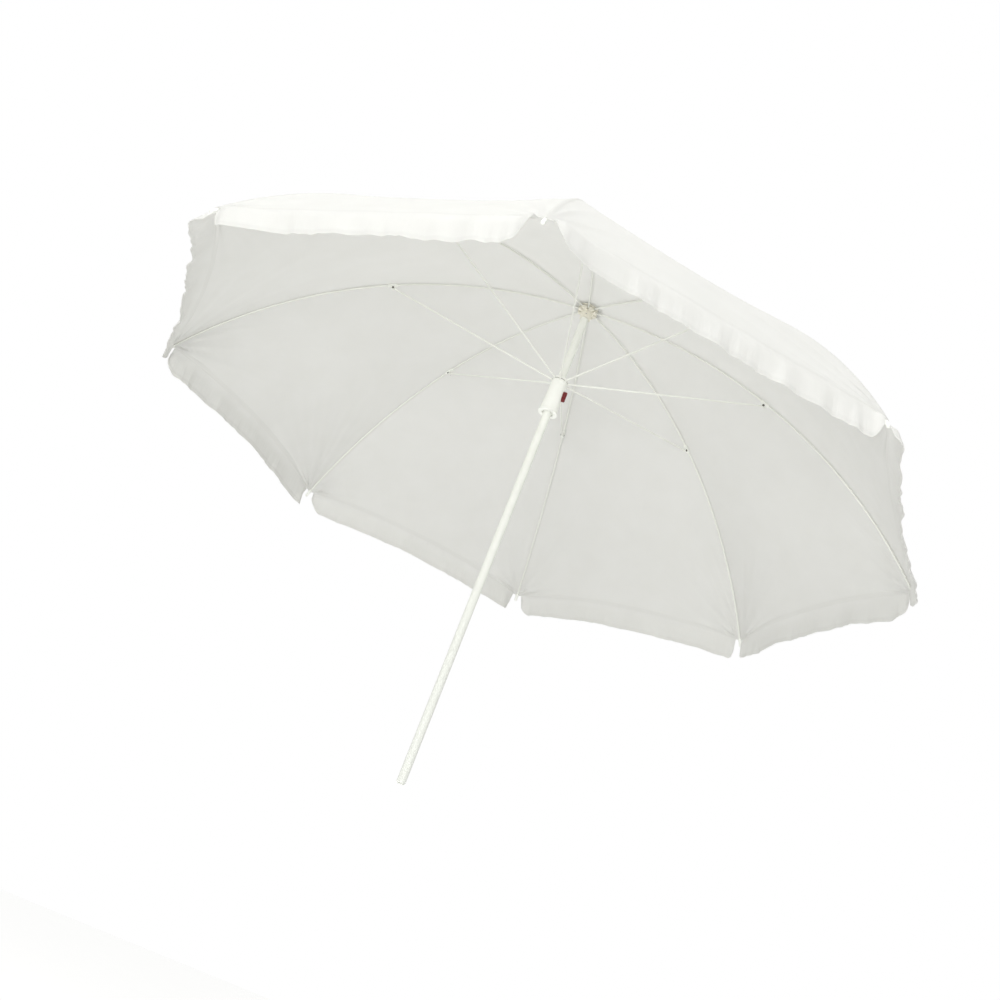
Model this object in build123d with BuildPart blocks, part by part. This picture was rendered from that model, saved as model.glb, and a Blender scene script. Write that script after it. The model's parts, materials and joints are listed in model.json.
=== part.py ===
"""Head of an eight-rib garden parasol: upper pole, crown, runner, ribs, stretchers and canopy.

Millimetres. The origin is the centre of the pole's open lower end and +Z runs up the pole.
The parasol stands open. Rib 1 lies along +X, and the others follow anticlockwise from above.
The crown pivot, saddle pivot and runner pivot of each rib make an isosceles triangle, so that
the runner slides along the pole as the ribs fold.
"""

import math
import os

from build123d import *

os.makedirs("parts", exist_ok=True)

# Overall sizes
RIB_COUNT = 8
RIB_LENGTH = 1000.0  # along the rib's curve, from its crown pivot to its tip
RIB_BOW_R = 1060.0  # the rib's curve, level at the crown
CROWN_HEIGHT = 1175.0  # crown pivots above the pole's foot
SADDLE_ALONG = 453.0  # along the rib, from the crown pivot to the saddle
VALANCE_HEIGHT = 58.0

# Wires, pivots and eyes
PIVOT_R = 18.0  # pivot rings of the crown and of the runner
RING_WIRE_R = 1.0
RIB_WIRE_R = 2.0
STRETCHER_WIRE_R = 2.0
EYE_WALL = 1.5
EYE_THICK = 3.6
RIVET_R = 1.5
RIVET_HEAD_R = 2.7
RIVET_HEAD_THICK = 0.9

# Pole
POLE_R = 9.5
POLE_WALL = 1.5
SOCKET_R = 8.5  # bore for a lower pole section
SOCKET_DEPTH = 120.0
SOCKET_STOP_THICK = 12.0
CROWN_PIN_R = 1.5

# Crown and top cap
CROWN_LIP = 5.0  # rim past its pivot ring
CROWN_ABOVE = 6.0  # top face above the pivots
CROWN_BELOW = 8.0  # rim below the pivots
CROWN_SLEEVE_R = 12.8
CROWN_SLEEVE_LENGTH = 17.0
CROWN_CHAMFER = 1.0
CAP_R = 34.0
CAP_RIM = 2.0
CAP_DOME = 9.0
CAP_SLOPE = 0.45  # how steeply the dome leaves its rim
CAP_SPIGOT = 20.0
FINIAL_R = 6.5
FINIAL_RISE = 3.25  # its centre above the dome

# Runner
RUNNER_LIP = 0.6  # collar past its pivot ring
RUNNER_BODY_R = 18.0
RUNNER_SKIRT_R = 20.5  # the body widens towards the flare
RUNNER_FLARE_R = 22.5
RUNNER_ABOVE = 6.0
RUNNER_TOP_HEIGHT = 15.0
RUNNER_LENGTH = 93.0
RUNNER_FLARE_HEIGHT = 9.0
RUNNER_RIM = 3.0
RUNNER_WALL = 2.5
GUIDE_HEIGHT = 12.0
FOOT_RECESS_R = 14.0  # round the pole, in the runner's bottom face
FOOT_RECESS_DEPTH = 5.0

# Push button
BUTTON_AZIMUTH = -8.0
BUTTON_WIDTH = 9.0
BUTTON_HEIGHT = 26.0
BUTTON_REACH = 27.0  # its outer face from the pole's axis
BUTTON_EDGE_R = 2.5
BUTTON_DOWN = 36.0  # button's middle below the runner pivots
BUTTON_FLANGE = 3.0  # past the button at each end
BUTTON_FLANGE_THICK = 1.0
SPRING_THICK = 0.5
SPRING_WIDTH = 6.0
SPRING_BOW = 1.1
SPRING_GAP = 0.3  # behind the button

# Saddles and tip caps
SADDLE_DROP = 8.0  # rivet below the rib's middle line
SADDLE_LENGTH = 22.0
SADDLE_WALL = 1.8
CHEEK_THICK = 1.6
CHEEK_FOOT = 13.0
TIP_CAP_R = 4.0
TIP_CAP_GRIP = 14.0
TIP_CAP_NOSE = 8.0
TIP_CAP_ROUND = 3.2

# Canopy
FABRIC_THICK = 1.2
CANOPY_HEM = 8.0  # fabric ends this short of the rib's tip
RIM_SCOOP = 15.0  # the rim curves in this far between two tips
VALANCE_START = 20.0  # from the rib to the end of the valance
CANOPY_GAP = 0.3  # between neighbouring sectors, and over the saddles

# Clearances
WIRE_PLAY = 0.3  # ring wire in an eye
NOTCH_PLAY = 0.4  # wire or eye in a notch
FIT_PLAY = 0.05  # fixed pieces pressed together
RIVET_PLAY = 0.06  # stretcher eye on its rivet
SLIDE_PLAY = 0.4  # runner on the pole, button in its slot
TIP_PLAY = 0.15

# Places worked out from the sizes
RIB_PITCH = 360.0 / RIB_COUNT
HALF_PITCH = RIB_PITCH / 2
BOW_Z = CROWN_HEIGHT - RIB_BOW_R
BOW_AXIS = Axis((PIVOT_R, 0, BOW_Z), (0, 1, 0))
POLE_BORE_R = POLE_R - POLE_WALL
CROWN_R = PIVOT_R + CROWN_LIP
CROWN_TOP = CROWN_HEIGHT + CROWN_ABOVE
CROWN_PIN_Z = CROWN_HEIGHT - CROWN_BELOW - CROWN_SLEEVE_LENGTH / 2
EYE_HOLE_R = RING_WIRE_R + WIRE_PLAY
EYE_R = EYE_HOLE_R + EYE_WALL
SADDLE_EYE_HOLE_R = RIVET_R + RIVET_PLAY
SADDLE_EYE_R = SADDLE_EYE_HOLE_R + EYE_WALL
NOTCH_FLOOR_R = PIVOT_R - EYE_R - NOTCH_PLAY
SADDLE_R = RIB_WIRE_R + FIT_PLAY + SADDLE_WALL
RUNNER_TOP_R = PIVOT_R + RUNNER_LIP
RUNNER_BORE_R = POLE_R + SLIDE_PLAY
FABRIC_RISE = SADDLE_R + CANOPY_GAP  # fabric's under side above the rib's middle line


def beside_rib(along, below=0.0):
    """Distance from the pole's axis and height of a point on rib 1, or square below it."""
    turn = along / RIB_BOW_R
    reach = RIB_BOW_R - below
    return PIVOT_R + reach * math.sin(turn), BOW_Z + reach * math.cos(turn)


def across_rib(along):
    """Plane square to rib 1 at a distance along it."""
    radius, height = beside_rib(along)
    turn = along / RIB_BOW_R
    return Plane((radius, 0, height), x_dir=(0, 1, 0), z_dir=(math.cos(turn), 0, -math.sin(turn)))


def rib_turn(length):
    """Degrees that a length along the rib turns through."""
    return math.degrees(length / RIB_BOW_R)


CROWN_PIVOT = (PIVOT_R, CROWN_HEIGHT)
SADDLE_PIVOT = beside_rib(SADDLE_ALONG, SADDLE_DROP)
RUNNER_PIVOT = (PIVOT_R, 2 * SADDLE_PIVOT[1] - CROWN_HEIGHT)
RUNNER_HEIGHT = RUNNER_PIVOT[1]
RUNNER_TOP = RUNNER_HEIGHT + RUNNER_ABOVE
RUNNER_BOTTOM = RUNNER_TOP - RUNNER_LENGTH
BUTTON_Z = RUNNER_HEIGHT - BUTTON_DOWN
BUTTON_SEAT_R = (
    math.sqrt((RUNNER_BODY_R - RUNNER_WALL) ** 2 - (BUTTON_WIDTH / 2) ** 2) - SLIDE_PLAY
)
BUTTON_OUT = Vector(1, 0, 0).rotate(Axis.Z, BUTTON_AZIMUTH)
BUTTON_ACROSS = Vector(0, -1, 0).rotate(Axis.Z, BUTTON_AZIMUTH)


def button_plane(radius):
    """Plane facing out through the button, at a distance from the pole's axis."""
    middle = BUTTON_OUT * radius + Vector(0, 0, BUTTON_Z)
    return Plane(middle, x_dir=(0, 0, 1), z_dir=BUTTON_OUT)


def write(part, name):
    """Labels a finished piece and writes it."""
    part.label = name
    export_step(part, f"parts/{name}.step")


def write_around(master, name):
    """Writes one copy of rib 1's piece for every rib, each in its own place."""
    for number in range(1, RIB_COUNT + 1):
        with BuildPart() as placed:
            add(master.part, rotation=(0, 0, (number - 1) * RIB_PITCH))
        write(placed.part, f"{name}_{number}")


def disc(centre, radius, depth, mode=Mode.ADD):
    """Adds or cuts a disc across rib 1's plane, in the part being built."""
    with BuildSketch(Plane.XZ) as outline:
        with Locations(centre):
            Circle(radius)
    extrude(outline.sketch, amount=depth, both=True, mode=mode)


# Pole: open tube, with a reamed socket below and a cross hole for the crown's pin
with BuildPart() as pole:
    with BuildSketch():
        Circle(POLE_R)
        Circle(POLE_BORE_R, mode=Mode.SUBTRACT)
    extrude(amount=CROWN_TOP)
    with BuildSketch():
        Circle(SOCKET_R)
    extrude(amount=SOCKET_DEPTH, mode=Mode.SUBTRACT)
    disc((0, CROWN_PIN_Z), CROWN_PIN_R + FIT_PLAY, POLE_R, mode=Mode.SUBTRACT)
write(pole.part, "pole")

# Plug inside the pole that a lower section stops against
with BuildPart() as socket_stop:
    with BuildSketch(Plane.XY.offset(SOCKET_DEPTH)):
        Circle(POLE_BORE_R - FIT_PLAY)
    extrude(amount=SOCKET_STOP_THICK)
write(socket_stop.part, "socket_stop")


def ring_groove(height, rim_radius):
    """Cuts the groove that holds a pivot ring into the part being built."""
    groove_r = PIVOT_R - RING_WIRE_R - FIT_PLAY
    with BuildSketch(Plane.XZ) as groove:
        with Locations((groove_r, height)):
            Rectangle(
                rim_radius - groove_r + RING_WIRE_R,
                2 * (RING_WIRE_R + FIT_PLAY),
                align=(Align.MIN, Align.CENTER),
            )
    revolve(groove.sketch, axis=Axis.Z, mode=Mode.SUBTRACT)


def notches(bottom, top, rim_radius, wire_radius):
    """Cuts one radial notch for each rib or stretcher into the part being built."""
    reach = rim_radius - NOTCH_FLOOR_R + RING_WIRE_R
    with BuildSketch(Plane.XY.offset(bottom)) as slots:
        with PolarLocations(NOTCH_FLOOR_R + reach / 2, RIB_COUNT):
            Rectangle(reach, 2 * (wire_radius + NOTCH_PLAY))
    extrude(slots.sketch, amount=top - bottom, mode=Mode.SUBTRACT)


def pivot_ring(height):
    """The wire ring that eight eyes turn on."""
    with BuildPart() as ring:
        with BuildSketch(Plane.XZ):
            with Locations((PIVOT_R, height)):
                Circle(RING_WIRE_R)
        revolve(axis=Axis.Z)
    return ring.part


# Crown: notched hub on a sleeve, pinned through the top of the pole
with BuildPart() as crown:
    rim_z = CROWN_HEIGHT - CROWN_BELOW
    sleeve_z = rim_z - CROWN_SLEEVE_LENGTH
    with BuildSketch(Plane.XZ):
        with BuildLine():
            Polyline(
                (POLE_R + FIT_PLAY, CROWN_TOP),
                (CROWN_R, CROWN_TOP),
                (CROWN_R, rim_z),
                (CROWN_SLEEVE_R, rim_z),
                (CROWN_SLEEVE_R, sleeve_z),
                (POLE_R + FIT_PLAY, sleeve_z),
                close=True,
            )
        make_face()
    revolve(axis=Axis.Z)
    chamfer(crown.edges().filter_by(GeomType.CIRCLE).group_by(Axis.Z)[0].sort_by(SortBy.RADIUS)[-1],
            CROWN_CHAMFER)
    notches(rim_z, CROWN_HEIGHT + EYE_R + NOTCH_PLAY, CROWN_R, RIB_WIRE_R)
    ring_groove(CROWN_HEIGHT, CROWN_R)
    disc((0, CROWN_PIN_Z), CROWN_PIN_R + FIT_PLAY, CROWN_R, mode=Mode.SUBTRACT)
write(crown.part, "crown")
write(pivot_ring(CROWN_HEIGHT), "crown_ring")

# Cross pin through the crown's sleeve and the pole
with BuildPart() as crown_pin:
    disc((0, CROWN_PIN_Z), CROWN_PIN_R, CROWN_SLEEVE_R)
write(crown_pin.part, "crown_pin")

# Top cap: shallow dome with a finial, its spigot pressed into the pole's bore
with BuildPart() as top_cap:
    dome_z = CROWN_TOP + CAP_RIM
    spigot_r = POLE_BORE_R - FIT_PLAY
    finial_z = dome_z + CAP_DOME + FINIAL_RISE
    with BuildSketch(Plane.XZ):
        with BuildLine():
            Polyline(
                (0, dome_z + CAP_DOME),
                (0, CROWN_TOP - CAP_SPIGOT),
                (spigot_r, CROWN_TOP - CAP_SPIGOT),
                (spigot_r, CROWN_TOP),
                (CAP_R, CROWN_TOP),
                (CAP_R, dome_z),
            )
            TangentArc((CAP_R, dome_z), (0, dome_z + CAP_DOME), tangent=(-1, CAP_SLOPE))
        make_face()
    revolve(axis=Axis.Z)
    with Locations((0, 0, finial_z)):
        Sphere(FINIAL_R)
write(top_cap.part, "top_cap")

# Runner: hollow sleeve with a notched top, a flared grip and a slot for the button
with BuildPart() as runner:
    neck_z = RUNNER_TOP - RUNNER_TOP_HEIGHT
    flare_z = RUNNER_BOTTOM + RUNNER_FLARE_HEIGHT
    with BuildSketch(Plane.XZ):
        with BuildLine():
            Polyline(
                (RUNNER_BORE_R, RUNNER_TOP),
                (RUNNER_TOP_R, RUNNER_TOP),
                (RUNNER_TOP_R, neck_z),
                (RUNNER_BODY_R, neck_z - (RUNNER_TOP_R - RUNNER_BODY_R)),
                (RUNNER_SKIRT_R, flare_z),
                (RUNNER_FLARE_R, RUNNER_BOTTOM + RUNNER_RIM),
                (RUNNER_FLARE_R, RUNNER_BOTTOM),
                (FOOT_RECESS_R, RUNNER_BOTTOM),
                (FOOT_RECESS_R, RUNNER_BOTTOM + FOOT_RECESS_DEPTH),
                (RUNNER_BORE_R, RUNNER_BOTTOM + FOOT_RECESS_DEPTH),
                close=True,
            )
        make_face()
    revolve(axis=Axis.Z)
    relief_top = neck_z - RUNNER_WALL
    relief_bottom = RUNNER_BOTTOM + GUIDE_HEIGHT
    with BuildSketch(Plane.XY.offset(relief_bottom)):
        Circle(RUNNER_BODY_R - RUNNER_WALL)
    extrude(amount=relief_top - relief_bottom, mode=Mode.SUBTRACT)
    notches(RUNNER_HEIGHT - EYE_R - NOTCH_PLAY, RUNNER_TOP, RUNNER_TOP_R, STRETCHER_WIRE_R)
    ring_groove(RUNNER_HEIGHT, RUNNER_TOP_R)
    with BuildSketch(button_plane(0)):
        SlotOverall(BUTTON_HEIGHT + 2 * SLIDE_PLAY, BUTTON_WIDTH + 2 * SLIDE_PLAY)
    extrude(amount=RUNNER_FLARE_R, mode=Mode.SUBTRACT)
write(runner.part, "runner")
write(pivot_ring(RUNNER_HEIGHT), "runner_ring")

# Push button: a slot-shaped key with a flange behind the runner's wall
with BuildPart() as push_button:
    with BuildSketch(button_plane(BUTTON_SEAT_R)):
        SlotOverall(BUTTON_HEIGHT, BUTTON_WIDTH)
    extrude(amount=BUTTON_REACH - BUTTON_SEAT_R)
    fillet(push_button.faces().sort_by(Axis((0, 0, 0), BUTTON_OUT))[-1].edges(), BUTTON_EDGE_R)
    with BuildSketch(button_plane(BUTTON_SEAT_R - BUTTON_FLANGE_THICK)):
        Rectangle(BUTTON_HEIGHT + 2 * BUTTON_FLANGE, BUTTON_WIDTH)
    extrude(amount=BUTTON_FLANGE_THICK)
write(push_button.part, "push_button")

# Bowed leaf spring that pushes the button out, its ends on the runner's two guides
with BuildPart() as button_spring:
    spring_top_r = BUTTON_SEAT_R - BUTTON_FLANGE_THICK - SPRING_GAP
    spring_half = (relief_top - relief_bottom) / 2
    spring_z = (relief_top + relief_bottom) / 2
    with BuildSketch(Plane((0, 0, spring_z), x_dir=BUTTON_OUT, z_dir=BUTTON_ACROSS)):
        with BuildLine():
            outer = ThreePointArc(
                (spring_top_r - SPRING_BOW, -spring_half),
                (spring_top_r, 0),
                (spring_top_r - SPRING_BOW, spring_half),
            )
            inner = ThreePointArc(
                (spring_top_r - SPRING_BOW - SPRING_THICK, -spring_half),
                (spring_top_r - SPRING_THICK, 0),
                (spring_top_r - SPRING_BOW - SPRING_THICK, spring_half),
            )
            Line(outer @ 0, inner @ 0)
            Line(outer @ 1, inner @ 1)
        make_face()
    extrude(amount=SPRING_WIDTH / 2, both=True)
write(button_spring.part, "button_spring")

# Rib: bowed wire with a flat eye on the crown's ring
with BuildPart() as rib:
    disc(CROWN_PIVOT, EYE_R, EYE_THICK / 2)
    with BuildSketch(across_rib(EYE_R - EYE_WALL / 2)):
        Circle(RIB_WIRE_R)
    revolve(axis=BOW_AXIS, revolution_arc=rib_turn(RIB_LENGTH - EYE_R + EYE_WALL / 2))
    disc(CROWN_PIVOT, EYE_HOLE_R, EYE_THICK, mode=Mode.SUBTRACT)
write_around(rib, "rib")

# Rib tip cap: a blind thimble over the end of the wire
with BuildPart() as tip_cap:
    tip_plane = across_rib(RIB_LENGTH)
    with BuildSketch(tip_plane.offset(-TIP_CAP_GRIP)):
        Circle(TIP_CAP_R)
    extrude(amount=TIP_CAP_GRIP + TIP_CAP_NOSE)
    nose = tip_cap.faces().filter_by(GeomType.PLANE).sort_by(Axis.X)[-1]
    fillet(nose.edges(), TIP_CAP_ROUND)
    with BuildSketch(tip_plane.offset(-TIP_CAP_GRIP)):
        Circle(RIB_WIRE_R + TIP_PLAY)
    extrude(amount=TIP_CAP_GRIP, mode=Mode.SUBTRACT)
write_around(tip_cap, "rib_tip_cap")

# Saddle: sleeve moulded round the rib, with two cheeks that hold the stretcher's rivet
with BuildPart() as saddle:
    saddle_start = SADDLE_ALONG - SADDLE_LENGTH / 2
    slot_half = STRETCHER_WIRE_R + NOTCH_PLAY
    with BuildSketch(Plane.XZ):
        with Locations(SADDLE_PIVOT):
            Circle(RIVET_HEAD_R + EYE_WALL / 2)
        with Locations(Location((*beside_rib(SADDLE_ALONG, SADDLE_R - CHEEK_THICK / 2), 0),
                                -math.degrees(SADDLE_ALONG / RIB_BOW_R))):
            Rectangle(CHEEK_FOOT, CHEEK_THICK)
        make_hull()
    extrude(amount=slot_half + CHEEK_THICK, both=True)
    with BuildSketch(Plane.XZ):
        with Locations(SADDLE_PIVOT):
            Circle(SADDLE_DROP + SADDLE_EYE_R)
    extrude(amount=slot_half, both=True, mode=Mode.SUBTRACT)
    with BuildSketch(across_rib(saddle_start)):
        Circle(SADDLE_R)
    revolve(axis=BOW_AXIS, revolution_arc=rib_turn(SADDLE_LENGTH))
    with BuildSketch(across_rib(saddle_start - SADDLE_WALL)):
        Circle(RIB_WIRE_R + FIT_PLAY)
    revolve(
        axis=BOW_AXIS,
        revolution_arc=rib_turn(SADDLE_LENGTH + 2 * SADDLE_WALL),
        mode=Mode.SUBTRACT,
    )
    disc(SADDLE_PIVOT, RIVET_R + FIT_PLAY, slot_half + 2 * CHEEK_THICK, mode=Mode.SUBTRACT)
write_around(saddle, "rib_saddle")

# Rivet across the saddle, with a flat head on each side
with BuildPart() as rivet:
    rivet_half = slot_half + CHEEK_THICK + FIT_PLAY
    disc(SADDLE_PIVOT, RIVET_R, rivet_half + RIVET_HEAD_THICK)
    disc(SADDLE_PIVOT, RIVET_HEAD_R, rivet_half + RIVET_HEAD_THICK)
    with BuildSketch(Plane.XZ):
        with Locations(SADDLE_PIVOT):
            Circle(RIVET_HEAD_R)
            Circle(RIVET_R, mode=Mode.SUBTRACT)
    extrude(amount=rivet_half, both=True, mode=Mode.SUBTRACT)
write_around(rivet, "saddle_rivet")

# Stretcher: straight wire from the runner's ring to the saddle's rivet
with BuildPart() as stretcher:
    span = Vector(SADDLE_PIVOT[0], 0, SADDLE_PIVOT[1]) - Vector(PIVOT_R, 0, RUNNER_HEIGHT)
    foot = Vector(PIVOT_R, 0, RUNNER_HEIGHT) + span.normalized() * (EYE_R - EYE_WALL / 2)
    wire_length = span.length - EYE_R - SADDLE_EYE_R + EYE_WALL
    disc(RUNNER_PIVOT, EYE_R, EYE_THICK / 2)
    disc(SADDLE_PIVOT, SADDLE_EYE_R, EYE_THICK / 2)
    with BuildSketch(Plane(foot, x_dir=(0, 1, 0), z_dir=span)):
        Circle(STRETCHER_WIRE_R)
    extrude(amount=wire_length)
    disc(RUNNER_PIVOT, EYE_HOLE_R, EYE_THICK, mode=Mode.SUBTRACT)
    disc(SADDLE_PIVOT, SADDLE_EYE_HOLE_R, EYE_THICK, mode=Mode.SUBTRACT)
write_around(stretcher, "stretcher")

# Canopy sector: the two half gores that meet on a rib, each level across, with their valance
GORE_SQUASH = math.cos(math.radians(HALF_PITCH))
RIM_R = beside_rib(RIB_LENGTH - CANOPY_HEM)[0]
RIM_HALF = RIM_R * math.sin(math.radians(HALF_PITCH))
RIM_ARC_R = (RIM_HALF**2 + RIM_SCOOP**2) / (2 * RIM_SCOOP)
RIM_CENTRE_R = RIM_R * GORE_SQUASH - RIM_SCOOP + RIM_ARC_R
HUB_HOLE_R = CROWN_R + EYE_WALL
GORE_OUT = Vector(1, 0, 0).rotate(Axis.Z, HALF_PITCH)
GORE_ACROSS = Vector(0, -1, 0).rotate(Axis.Z, HALF_PITCH)
GORE_PLANE = Plane((0, 0, 0), x_dir=GORE_OUT, z_dir=GORE_ACROSS)
CURVE_HIGH = 90.0  # degrees, over the crown
CURVE_LOW = CURVE_HIGH - rib_turn(RIB_LENGTH + VALANCE_HEIGHT)  # past the rim
TRIM_HEIGHT = RIB_BOW_R + FABRIC_RISE + 2 * FABRIC_THICK  # from the curve's centre up past it
TRIM_REACH = RIM_R + VALANCE_HEIGHT


def gore_curve(rise, drop=0.0):
    """A rib's curve narrowed to the gore's middle, raised square to itself and then dropped."""
    return EllipticalCenterArc(
        center=(PIVOT_R * GORE_SQUASH, BOW_Z - drop),
        x_radius=(RIB_BOW_R + rise) * GORE_SQUASH,
        y_radius=RIB_BOW_R + rise,
        start_angle=CURVE_LOW,
        arc_size=CURVE_HIGH - CURVE_LOW,
    )


def gore_band(upper, lower):
    """Solid between two gore curves, level across the gore, added to the part being built."""
    with BuildSketch(GORE_PLANE) as band:
        with BuildLine():
            over = gore_curve(*upper)
            under = gore_curve(*lower)
            Line(over @ 0, under @ 0)
            Line(over @ 1, under @ 1)
        make_face()
    extrude(band.sketch, amount=RIM_R, both=True)


def gore_wedge(rib_side):
    """Plan of half a gore, from a line beside the rib to just short of the gore's middle."""
    lean = math.tan(math.radians(HALF_PITCH))
    shy = CANOPY_GAP / 2 / GORE_SQUASH
    Polygon(
        ((rib_side + shy) / lean, rib_side),
        (TRIM_REACH, rib_side),
        (TRIM_REACH, TRIM_REACH * lean - shy),
        align=None,
    )


with BuildPart() as half_gore:
    gore_band((FABRIC_RISE + FABRIC_THICK,), (FABRIC_RISE,))
    with BuildSketch(Plane.XY.offset(BOW_Z)):
        gore_wedge(0)
        Circle(HUB_HOLE_R, mode=Mode.SUBTRACT)
        with PolarLocations(RIM_CENTRE_R, 1, start_angle=HALF_PITCH):
            Circle(RIM_ARC_R, mode=Mode.SUBTRACT)
    extrude(amount=TRIM_HEIGHT, mode=Mode.INTERSECT)

with BuildPart() as half_valance:
    gore_band((FABRIC_RISE + FABRIC_THICK,), (FABRIC_RISE + FABRIC_THICK, VALANCE_HEIGHT))
    with BuildSketch(Plane.XY.offset(BOW_Z)):
        gore_wedge(VALANCE_START)
        with PolarLocations(RIM_CENTRE_R, 1, start_angle=HALF_PITCH):
            Circle(RIM_ARC_R + FABRIC_THICK, mode=Mode.INTERSECT)
            Circle(RIM_ARC_R, mode=Mode.SUBTRACT)
    extrude(amount=TRIM_HEIGHT, mode=Mode.INTERSECT)

with BuildPart() as canopy_sector:
    add(half_gore.part)
    add(half_valance.part)
    mirror(about=Plane.XZ)
write_around(canopy_sector, "canopy_sector")
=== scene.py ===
"""Open white garden parasol: sewn canopy with a valance, lacquered frame, moulded runner."""

import json
import math

import bpy
import numpy as np
from mathutils import Matrix, Vector


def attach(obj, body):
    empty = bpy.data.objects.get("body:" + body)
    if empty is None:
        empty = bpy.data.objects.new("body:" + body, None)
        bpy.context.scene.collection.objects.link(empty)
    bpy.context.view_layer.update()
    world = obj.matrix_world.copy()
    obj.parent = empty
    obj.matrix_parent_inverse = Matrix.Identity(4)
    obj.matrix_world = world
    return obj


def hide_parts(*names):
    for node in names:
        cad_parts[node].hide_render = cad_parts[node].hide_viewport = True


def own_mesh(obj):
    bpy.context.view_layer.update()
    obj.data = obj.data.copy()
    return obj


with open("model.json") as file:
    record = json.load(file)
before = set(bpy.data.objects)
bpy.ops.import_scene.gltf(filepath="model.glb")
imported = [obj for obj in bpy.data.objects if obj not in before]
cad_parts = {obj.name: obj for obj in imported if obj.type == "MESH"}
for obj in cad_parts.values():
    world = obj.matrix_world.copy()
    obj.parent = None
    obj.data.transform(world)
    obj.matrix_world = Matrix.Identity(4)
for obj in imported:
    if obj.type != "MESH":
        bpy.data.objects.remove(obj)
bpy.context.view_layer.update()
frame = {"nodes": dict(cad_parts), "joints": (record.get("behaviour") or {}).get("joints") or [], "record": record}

MM = 0.001
TINY = 1e-6
UP = np.array([0, 0, 1.0])

# The frame, as the CAD model has it
JOINTS = {joint["name"]: joint for joint in frame["joints"]}
PIVOT_R, _, CROWN_Z = JOINTS["fold"]["pos_m"]
RIB_COUNT = 8
RIB_PITCH = math.tau / RIB_COUNT
HALF_PITCH = RIB_PITCH / 2
BOW_R = 1060 * MM  # the ribs' curve
RIB_LENGTH = 1000 * MM  # along the curve
CLOTH_RISE = 4.75 * MM  # middle of the cloth above a rib's middle line

# The canopy's cut
CLOTH_THICK = 0.8 * MM
HUB_R = 24.5 * MM  # hole over the crown
TIP_SHORT = 8 * MM  # the cloth ends this short of a rib's tip
RIM_SCOOP = 15 * MM  # the rim curves in between two tips
VALANCE = 58 * MM
VALANCE_START = 14 * MM  # from the rib to the valance's rounded end
# Length over which the valance's two ends narrow, at each gore's first and second rib, in mm
VALANCE_ENDS = {1: (58, 15), 2: (16, 34), 3: (20, 36), 4: (15, 38), 5: (34, 20), 6: (20, 60),
                7: (38, 24), 8: (24, 46)}
HEM = 11 * MM
SEAM = 5 * MM  # half width of the felled seam on a rib
SAG = 7 * MM  # the gore's middle hangs inside the straight line between two ribs
HANG = (0.14, 0.03, -1)  # how the valance hangs: the pole leans
# Where a stiff fold stands the valance off: outward lean at a gore's two ribs
LEAN = {5: (0.1, 0.75), 8: (0.45, 0.3), 4: (0.15, 0.1)}
VALANCE_LEAST = 1.2 * MM  # beside a rib, where the valance has ended
TURN_DOWN = 28 * MM  # below the rim the valance hangs straight from here
FLUTTER = 3 * MM

# Creases at a rib's tip, and the cloth's unevenness
FOLD_HEIGHT = 1.9 * MM
FOLD_START = 25 * MM  # from the tip
FOLD_FADE = 130 * MM
FOLD_CLEAR = 20 * MM  # no creases nearer the rib than this
SAG_START = 450 * MM  # along the rib, where the sag is full
SLACK_START = 300 * MM  # along the rib, where the unevenness is full
UNEVEN = 0.7 * MM
RIM_WAVE = 0.5 * MM
RIM_WAVE_REACH = 120 * MM  # above the rim


def smooth(value):
    """Smooth step from 0 to 1."""
    clipped = np.clip(value, 0, 1)
    return clipped * clipped * (3 - 2 * clipped)


def unit(vectors):
    """Vectors along the last axis, made one long."""
    return vectors / np.linalg.norm(vectors, axis=-1, keepdims=True)


def outward(azimuth):
    """Level unit vector away from the pole."""
    return np.array([math.cos(azimuth), math.sin(azimuth), 0.0])


def over_rib(along, azimuth, rise=CLOTH_RISE):
    """Points over a rib's middle line, at distances along it."""
    turn = along / BOW_R
    radius = PIVOT_R + (BOW_R + rise) * np.sin(turn)
    height = CROWN_Z - BOW_R + (BOW_R + rise) * np.cos(turn)
    return radius[..., None] * outward(azimuth) + height[..., None] * UP


def along_at(radius):
    """Distance along a rib at which the cloth over it is this far from the pole's axis."""
    return BOW_R * np.arcsin((radius - PIVOT_R) / (BOW_R + CLOTH_RISE))


RIM_R = PIVOT_R + (BOW_R + CLOTH_RISE) * math.sin((RIB_LENGTH - TIP_SHORT) / BOW_R)
GORE_HALF = RIM_R * math.sin(HALF_PITCH)

# Rows down the gore: even from the hub, then closer at the rim's hem
HEM_ROWS = np.array([36, 28, 21, 16, 12.5, HEM / MM + 0.5, HEM / MM - 0.5, 8, 5, 2.5, 1, 0]) * MM
EVEN_ROWS = 104
# Rows down the valance, as shares of its height, closer at its hem
LOW_HEM = 0.84
DROP_ROWS = np.array([0.02, 0.05, 0.09, 0.14, 0.2, 0.28, 0.37, 0.47, 0.57, 0.67, 0.76,
                      LOW_HEM, 0.865, 0.93, 0.98, 1.0])
# Columns across half a gore: a few beside the seam, then wider
SEAM_COLUMNS = np.array([0, 2.4, SEAM / MM - 0.4, SEAM / MM + 0.4, 8]) * MM
WIDE_COLUMNS = 46


def half_columns(width):
    """Distances from the rib across half a gore, for each row's half width."""
    beside = np.minimum(SEAM_COLUMNS[None, :], width[:, None] * np.linspace(0, 0.6, 5)[None, :])
    share = np.linspace(0, 1, WIDE_COLUMNS + 1)[1:] ** 1.3
    rest = beside[:, -1:] + (width[:, None] - beside[:, -1:]) * share[None, :]
    return np.concatenate([beside, rest], axis=1)


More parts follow.
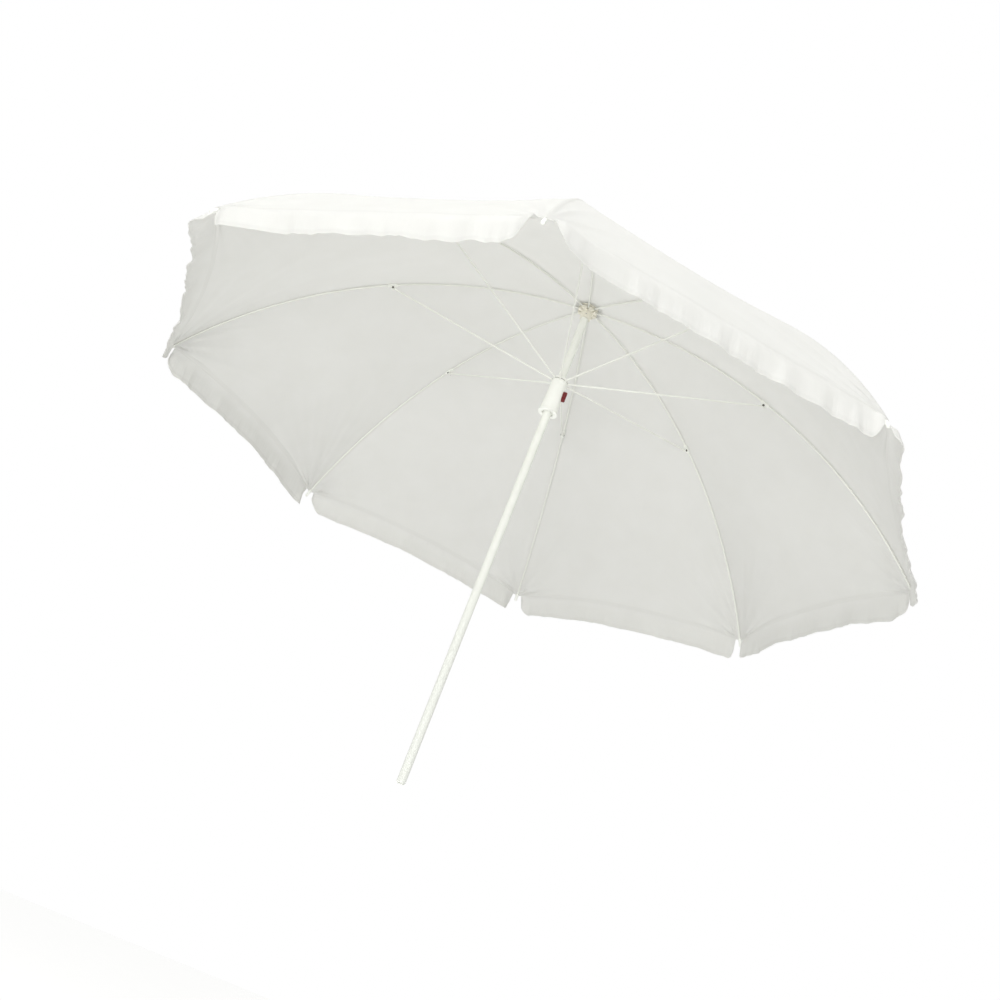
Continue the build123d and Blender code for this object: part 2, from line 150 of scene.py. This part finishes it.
def tip_folds(across, below_tip, seed):
    """Fine creases that fan out of a rib's tip, where the cloth is pulled tight."""
    distance = np.hypot(across, below_tip) + TINY
    angle = np.arctan2(across, below_tip)
    reach = np.exp(-distance / FOLD_FADE) * smooth(distance / FOLD_START)
    waves = np.sin(13 * angle + 1.7 * seed) + 0.8 * np.abs(np.sin(14 * angle + 2.9 * seed)) ** 3
    waves += 0.7 * np.sin(41 * angle + 0.8 * seed)
    return FOLD_HEIGHT * reach * waves * smooth(across / FOLD_CLEAR)


def bulge(across, width, along, to_rim, seed):
    """How far the cloth stands out from straight lines drawn between its two ribs."""
    share = across / width
    middle = 1 - (2 * share - 1) ** 2
    stand = -SAG * middle * smooth(along / SAG_START)
    stand += tip_folds(across, to_rim, seed) + tip_folds(width - across, to_rim, seed + 4.3)
    slack = smooth(along / SLACK_START) * (1 - (2 * share - 1) ** 8)
    uneven = np.sin(9 * share + 7 * along + seed) * np.sin(11 * along + 2 * seed)
    stand += UNEVEN * uneven * slack
    drawn = np.sin(31 * share + 2.1 * seed) * smooth(1 - to_rim / RIM_WAVE_REACH)
    return stand + RIM_WAVE * drawn * slack


def flutter(across, seed):
    """Waves along the valance's free edge."""
    waves = np.sin(across * 19 + seed * 1.3) + 0.8 * np.sin(across * 43 + seed * 2.7)
    waves += 0.6 * np.sin(across * 89 + seed * 0.6)
    return waves + 0.5 * np.sin(across * 157 + 3 * np.sin(across * 31) + seed)


def valance_heights(number, from_tip, share):
    """The valance's height below each point of the rim, with its two ends rounded."""
    ends = np.where(share < 0.5, *VALANCE_ENDS[number]) * MM
    rounding = np.clip((from_tip - VALANCE_START) / ends, 0, 1)
    return np.maximum(VALANCE * np.sqrt(1 - (1 - rounding) ** 2), VALANCE_LEAST)


def hang_valance(number, rim, slope, across, share, height):
    """Rows of the valance, which turns from the canopy's slope to hanging straight."""
    out = outward((number - 0.5) * RIB_PITCH)
    lean_start, lean_end = LEAN.get(number, (0, 0))
    lean = lean_start + (lean_end - lean_start) * share
    hang = unit(np.array(HANG) + lean[:, None] * out)
    waves = flutter(across, float(number))
    rows, place, before = [], rim.copy(), np.zeros_like(height)
    for row in DROP_ROWS:
        below = row * height
        hanging = smooth((below + before) / 2 / TURN_DOWN)[:, None]
        direction = unit(slope * (1 - hanging) + hang * hanging)
        place = place + direction * (below - before)[:, None]
        before = below
        swing = FLUTTER * (below / VALANCE) ** 1.2 * waves
        rows.append(place + out * swing[:, None])
    return np.array(rows)


def sheet_normals(points, azimuth, turn):
    """Normals of a gore and its valance; on a rib's seam they lie in the rib's own plane."""
    down = np.gradient(points, axis=0)
    side = np.gradient(points, axis=1)
    normals = unit(np.cross(side, -down))
    for column, rib_azimuth in ((0, azimuth), (-1, azimuth + RIB_PITCH)):
        rib_turn = turn[:, column, None]
        rib_out = np.sin(rib_turn) * outward(rib_azimuth) + np.cos(rib_turn) * UP
        normals[: len(turn), column] = rib_out
        normals[len(turn):, column] = unit(outward(rib_azimuth) + 0.4 * UP)
    return normals


def gore(number):
    """Cloth of one gore and its valance: points, normals, extra half thickness and pattern."""
    azimuth = (number - 1) * RIB_PITCH

    # The rim's place along the rib direction depends on how far across the gore a column is
    rim_half = half_columns(np.array([GORE_HALF]))[0]
    across_rim = np.concatenate([rim_half, 2 * GORE_HALF - rim_half[-2::-1]])
    share = across_rim / (2 * GORE_HALF)
    scoop = RIM_SCOOP * (1 - (2 * share - 1) ** 2)
    rim_along = along_at(RIM_R - scoop / math.cos(HALF_PITCH))
    hub_along = along_at(np.array(HUB_R / math.cos(HALF_PITCH)))

    even = np.linspace(0, 1, EVEN_ROWS + 1)[:-1, None]
    upper = hub_along + (rim_along[None, :] - HEM_ROWS[0] - hub_along) * even
    along = np.concatenate([upper, rim_along[None, :] - HEM_ROWS[:, None]])
    turn = along / BOW_R
    to_rim = rim_along[None, :] - along

    # Columns keep their distance beside the seam, whatever the width
    radius = PIVOT_R + (BOW_R + CLOTH_RISE) * np.sin(turn[:, len(share) // 2])
    half = half_columns(radius * math.sin(HALF_PITCH))
    width = 2 * half[:, -1:]
    across = np.concatenate([half, width - half[:, -2::-1]], axis=1)
    near_second = (across / width)[..., None]

    points = over_rib(along, azimuth) * (1 - near_second)
    points += over_rib(along, azimuth + RIB_PITCH) * near_second
    out = np.sin(turn)[..., None] * outward(azimuth + HALF_PITCH) + np.cos(turn)[..., None] * UP
    points += out * bulge(across, width, along, to_rim, float(number))[..., None]

    from_tip = np.minimum(across_rim, 2 * GORE_HALF - across_rim)
    height = valance_heights(number, from_tip, share)
    slope = unit(points[-1] - points[-3])
    drops = hang_valance(number, points[-1], slope, across_rim, share, height)
    points = np.concatenate([points, drops])

    # Pattern: across from the nearer rib, and along from the rim, both as the flat cloth
    beside = np.minimum(across, width - across)
    beside = np.concatenate([beside, np.repeat(from_tip[None, :], len(DROP_ROWS), axis=0)])
    down_cloth = np.concatenate([-to_rim, DROP_ROWS[:, None] * height[None, :]])

    # Doubled cloth at the seam, at the rim's hem and at the valance's own hem
    doubled = smooth((SEAM + 0.4 * MM - beside) / (0.8 * MM))
    doubled = np.maximum(doubled, smooth((HEM + 0.5 * MM + down_cloth) / MM) * (down_cloth <= 0))
    low_hem = smooth((DROP_ROWS[:, None] - LOW_HEM) / 0.025) * (height[None, :] > 0.3 * VALANCE)
    doubled[len(along):] = low_hem
    normals = sheet_normals(points, azimuth, turn)
    return points, normals, doubled, np.stack([beside, down_cloth], axis=-1)


def closed_sheet(name, points, normals, doubled, pattern):
    """A thin closed sheet: an outer and an inner face joined round the edge."""
    rows, columns = points.shape[:2]
    half = (CLOTH_THICK / 2 * (1 + 0.9 * doubled))[..., None]
    corners = np.concatenate([points + normals * half, points - normals * half]).reshape(-1, 3)
    index = np.arange(2 * rows * columns).reshape(2, rows, columns)
    outer, inner = index
    faces = []
    for sheet, flip in ((outer, False), (inner, True)):
        quads = np.stack([sheet[:-1, :-1], sheet[1:, :-1], sheet[1:, 1:], sheet[:-1, 1:]], axis=-1)
        quads = quads.reshape(-1, 4)
        faces.append(quads[:, ::-1] if flip else quads)
    ring = np.concatenate([
        index[:, 0, :], index[:, 1:, -1], index[:, -1, -2::-1], index[:, -2:0:-1, 0]
    ], axis=1)
    rim = np.stack([ring[0], np.roll(ring[0], -1), np.roll(ring[1], -1), ring[1]], axis=-1)
    faces.append(rim)
    mesh = bpy.data.meshes.new(name)
    mesh.from_pydata(corners.tolist(), [], np.concatenate(faces).tolist())
    mesh.polygons.foreach_set("use_smooth", np.ones(len(mesh.polygons), bool))
    mesh.set_sharp_from_angle(angle=math.radians(50))
    loops = np.empty(len(mesh.loops), int)
    mesh.loops.foreach_get("vertex_index", loops)
    flat = np.concatenate([pattern, pattern]).reshape(-1, 2)
    mesh.uv_layers.new(name="cut").data.foreach_set("uv", flat[loops].ravel())
    layers = mesh.attributes.new("doubled", "FLOAT", "POINT")
    both = np.concatenate([doubled, doubled]).ravel()
    layers.data.foreach_set("value", both.astype(np.float32))
    mesh.update()
    piece = bpy.data.objects.new(name, mesh)
    bpy.context.collection.objects.link(piece)
    return piece


# Materials


def colour(code):
    """Linear RGBA from an sRGB hex code."""
    parts = [int(code[i:i + 2], 16) / 255 for i in (0, 2, 4)]
    linear = [p / 12.92 if p <= 0.04045 else ((p + 0.055) / 1.055) ** 2.4 for p in parts]
    return (*linear, 1.0)


def add(tree, kind, inputs=(), **settings):
    """Adds a node with its settings; each input takes a value or another node's output."""
    made = tree.nodes.new(kind)
    for key, value in settings.items():
        setattr(made, key, value)
    for key, value in dict(inputs).items():
        if isinstance(value, bpy.types.NodeSocket):
            tree.links.new(value, made.inputs[key])
        else:
            made.inputs[key].default_value = value
    return made


def blank(name):
    """A new material's node tree, shader and surface coordinates."""
    material = bpy.data.materials.new(name)
    material.use_nodes = True
    tree = material.node_tree
    shader = tree.nodes["Principled BSDF"]
    place = add(tree, "ShaderNodeTexCoord")
    return material, tree, shader, place


def set_shader(shader, **values):
    """Sets values straight on the shader's own sockets."""
    for key, value in values.items():
        shader.inputs[key.replace("_", " ")].default_value = value


def woven_polyester():
    """Woven polyester canopy cloth: matt, faintly mottled, lets some light through; painted shade darkens it where
    it is doubled.
    """
    material, tree, shader, place = blank("woven_polyester")
    set_shader(shader, Roughness=0.86, Specular_IOR_Level=0.25, Sheen_Weight=0.05,
               Sheen_Roughness=0.5)
    mottle = add(tree, "ShaderNodeTexNoise", {
        "Vector": place.outputs["Object"], "Scale": 1 / (70 * MM), "Detail": 3, "Roughness": 0.55})
    cloth = add(tree, "ShaderNodeMixRGB", {
        "Fac": mottle.outputs["Fac"], "Color1": colour("EFEFEC"), "Color2": colour("F4F4F2")})
    # Painted shade: where the cloth is doubled at seams and hems, its colour is darkened to stand in for the
    # lesser light that comes through two layers
    layers = add(tree, "ShaderNodeAttribute", attribute_name="doubled")
    doubled_shade = add(tree, "ShaderNodeMath", {0: layers.outputs["Fac"], 1: 0.55}, operation="MULTIPLY")
    sewn = add(tree, "ShaderNodeMixRGB", {
        "Fac": doubled_shade.outputs[0], "Color1": cloth.outputs[0], "Color2": colour("EDEDEA")})
    # Thread spacing is 0.5 mm; drawn four times as coarse so that it shows
    spacing = 2.0 * MM
    cut = add(tree, "ShaderNodeUVMap", uv_map="cut")
    threads = [
        add(tree, "ShaderNodeTexWave", {
            "Vector": cut.outputs["UV"], "Scale": math.tau / 20 / spacing, "Distortion": 0.6,
            "Detail": 1}, bands_direction=way)
        for way in ("X", "Y")
    ]
    weave = add(tree, "ShaderNodeMath", {
        0: threads[0].outputs["Fac"], 1: threads[1].outputs["Fac"]}, operation="MAXIMUM")
    tint = add(tree, "ShaderNodeMath", {0: weave.outputs[0], 1: 0.10}, operation="MULTIPLY")
    woven = add(tree, "ShaderNodeMixRGB", {
        "Fac": tint.outputs[0], "Color1": sewn.outputs[0], "Color2": colour("FAFAF8")})
    tree.links.new(woven.outputs[0], shader.inputs["Base Color"])
    fine = add(tree, "ShaderNodeBump", {
        "Height": weave.outputs[0], "Strength": 0.25, "Distance": 0.25 * MM})
    # Puckers that the hem's thread pulls in, square to the rim, fading out above it
    streaks = add(tree, "ShaderNodeVectorMath", {
        0: cut.outputs["UV"], 1: (1 / (11 * MM), 1 / (90 * MM), 0)}, operation="MULTIPLY")
    puckers = add(tree, "ShaderNodeTexNoise", {
        "Vector": streaks.outputs[0], "Scale": 1, "Detail": 2, "Roughness": 0.6})
    along_cloth = add(tree, "ShaderNodeSeparateXYZ", {"Vector": cut.outputs["UV"]})
    near_hem = add(tree, "ShaderNodeMapRange", {
        "Value": along_cloth.outputs["Y"], "From Min": -45 * MM, "From Max": 12 * MM})
    pull = add(tree, "ShaderNodeMath", {
        0: puckers.outputs["Fac"], 1: near_hem.outputs[0]}, operation="MULTIPLY")
    bump = add(tree, "ShaderNodeBump", {
        "Height": pull.outputs[0], "Strength": 0.6, "Distance": 1.6 * MM, "Normal": fine.outputs[0]})
    tree.links.new(bump.outputs[0], shader.inputs["Normal"])
    # Daylight that comes through the cloth
    through = add(tree, "ShaderNodeBsdfTranslucent", {
        "Color": woven.outputs[0], "Normal": bump.outputs[0]})
    share = add(tree, "ShaderNodeMixShader", {
        0: 0.46, 1: shader.outputs[0], 2: through.outputs[0]})
    tree.links.new(share.outputs[0], tree.nodes["Material Output"].inputs["Surface"])
    return material


def coated(name, light, dark, grain_mm, roughness, bump_mm, metallic=0.0, coat=0.0):
    """A smooth finish with faint mottling and fine surface grain."""
    material, tree, shader, place = blank(name)
    set_shader(shader, Metallic=metallic, Coat_Weight=coat, Coat_Roughness=0.2)
    grain = add(tree, "ShaderNodeTexNoise", {
        "Vector": place.outputs["Object"], "Scale": 1 / (grain_mm * MM), "Detail": 4,
        "Roughness": 0.6})
    broad = add(tree, "ShaderNodeTexNoise", {
        "Vector": place.outputs["Object"], "Scale": 1 / (14 * grain_mm * MM), "Detail": 2})
    tone = add(tree, "ShaderNodeMixRGB", {
        "Fac": broad.outputs["Fac"], "Color1": colour(dark), "Color2": colour(light)})
    tree.links.new(tone.outputs[0], shader.inputs["Base Color"])
    gloss = add(tree, "ShaderNodeMapRange", {
        "Value": grain.outputs["Fac"], "To Min": roughness - 0.06, "To Max": roughness + 0.06})
    tree.links.new(gloss.outputs[0], shader.inputs["Roughness"])
    bump = add(tree, "ShaderNodeBump", {
        "Height": grain.outputs["Fac"], "Strength": 0.3, "Distance": bump_mm * MM})
    tree.links.new(bump.outputs[0], shader.inputs["Normal"])
    return material


FINISHES = {
    # Baked white lacquer on tube: satin, with a slight orange peel
    "painted_steel_tube": coated("lacquered_steel_tube", "F5F7F1", "F0F2EA", 1.6, 0.38, 0.06, coat=0.3),
    # Dipped lacquer on wire: a little softer and thicker
    "lacquered_wire": coated("lacquered_wire", "F4F5EF", "ECEDE6", 1.2, 0.42, 0.05, coat=0.25),
    # Zinc plating: bright grey, finely spangled
    "zinc_plated_wire": coated("zinc_plated_wire", "C9C8C0", "A9A8A0", 0.5, 0.34, 0.02, metallic=1.0),
    # Tempered spring strip: darker steel
    "spring_steel": coated("spring_steel", "8E8C88", "74726E", 0.4, 0.3, 0.01, metallic=1.0),
    # Blackened rivets: dark and dull
    "dark_rivet": coated("blackened_rivet", "7A7872", "64625C", 0.4, 0.45, 0.02, metallic=0.7),
    # Moulded nylon, cream: soft sheen
    "crown_nylon": coated("moulded_nylon", "F2EFE2", "EAE6D6", 0.9, 0.45, 0.03),
    # Moulded polypropylene, white: soft sheen, fine spark-eroded texture
    "white_plastic": coated("moulded_polypropylene", "FBFCF7", "F5F6F0", 0.6, 0.5, 0.03),
    # Moulded ABS, red, with painted shade darkening it to dark red: smoother
    "red_plastic": coated("shade_darkened_abs", "78191D", "681518", 0.8, 0.32, 0.01),
    # Black polyethylene plug: dull
    "black_plastic": coated("black_polyethylene", "1C1B1A", "141312", 0.8, 0.6, 0.03),
}
SLOT_OF = {part["node"]: part["material_slot"] for part in frame["record"]["subparts"]}

for name, node in frame["nodes"].items():
    finish = FINISHES.get(SLOT_OF[name])
    if finish:
        for slot in node.material_slots:
            slot.material = finish

# Canopy: the gores are worked out whole, then split at their middles into sectors on the ribs
cloth = woven_polyester()
gores = {number: gore(number) for number in range(1, RIB_COUNT + 1)}
for number in range(1, RIB_COUNT + 1):
    right, left = gores[number], gores[(number - 2) % RIB_COUNT + 1]
    centre = right[0].shape[1] // 2
    parts = []
    for before, after in zip(left, right):
        parts.append(np.concatenate([before[:, centre:], after[:, 1:centre + 1]], axis=1))
    piece = closed_sheet(f"canopy_{number}", *parts)
    piece.data.materials.append(cloth)
    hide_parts(f"canopy_sector_{number}")
    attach(piece, f"rib_{number}")
    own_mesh(piece)

# Stage, light and camera
FLOOR_Z = -1.25  # below the lower pole section that the socket takes
FLOOR_SIZE = 40
bpy.ops.mesh.primitive_plane_add(size=FLOOR_SIZE, location=(0, 0, FLOOR_Z))
floor = bpy.context.object
floor.name = "floor"
paper = coated("matt_floor", "F4F4F2", "F0F0EE", 30, 0.8, 0.1)
floor.data.materials.append(paper)
# Pale right out to the backdrop, without lighting the canopy from below
looked_at = add(paper.node_tree, "ShaderNodeLightPath")
glow = add(paper.node_tree, "ShaderNodeMapRange", {
    "Value": looked_at.outputs["Is Camera Ray"], "To Max": 0.42})
paper_shader = paper.node_tree.nodes["Principled BSDF"]
set_shader(paper_shader, Emission_Color=(1, 1, 1, 1))
paper.node_tree.links.new(glow.outputs[0], paper_shader.inputs["Emission Strength"])

world = bpy.data.worlds.new("studio")
world.use_nodes = True
sky = world.node_tree
# The backdrop is pure white; its light on the object is softer
seen = add(sky, "ShaderNodeLightPath")
strength = add(sky, "ShaderNodeMapRange", {
    "Value": seen.outputs["Is Camera Ray"], "To Min": 0.62, "To Max": 1.0})
sky.nodes["Background"].inputs["Color"].default_value = (1, 1, 1, 1)
sky.links.new(strength.outputs[0], sky.nodes["Background"].inputs["Strength"])
bpy.context.scene.world = world
bpy.context.scene.view_settings.view_transform = "Standard"


def soft_light(name, place, aim, size, power):
    """A square soft box at a place, facing an aim."""
    data = bpy.data.lights.new(name, "AREA")
    data.size = size
    data.energy = power
    light = bpy.data.objects.new(name, data)
    light.location = place
    light.rotation_euler = (Vector(aim) - Vector(place)).to_track_quat("-Z", "Y").to_euler()
    bpy.context.collection.objects.link(light)


soft_light("key_light", (-0.2, -3.8, -0.8), (0, 0, CROWN_Z), 1.6, 70)
soft_light("fill_light", (-0.6, 3.2, -1.5), (0, 0, CROWN_Z), 2.0, 70)
soft_light("top_light", (0.4, 0.8, 4.4), (0, 0, CROWN_Z), 2.5, 20)
soft_light("side_light", (-1.1, -2.8, 4.2), (0, 0, CROWN_Z), 2.5, 115)

SPREAD = 0.880  # the tips' distance from the pole
STAND = (0.351, -2.678, -1.735)  # the camera from the crown, in spreads
lens = bpy.data.cameras.new("camera")
lens.lens = 42.44
camera = bpy.data.objects.new("camera", lens)
heading, lift, roll = math.radians(8.1), math.radians(22.7), math.radians(21.9)
turned = Matrix.Rotation(heading, 4, "Z") @ Matrix.Rotation(math.pi / 2 + lift, 4, "X")
stand = Vector(STAND) * SPREAD + Vector((0, 0, CROWN_Z))
camera.matrix_world = Matrix.Translation(stand) @ turned @ Matrix.Rotation(roll, 4, "Z")
bpy.context.collection.objects.link(camera)
bpy.context.scene.camera = camera
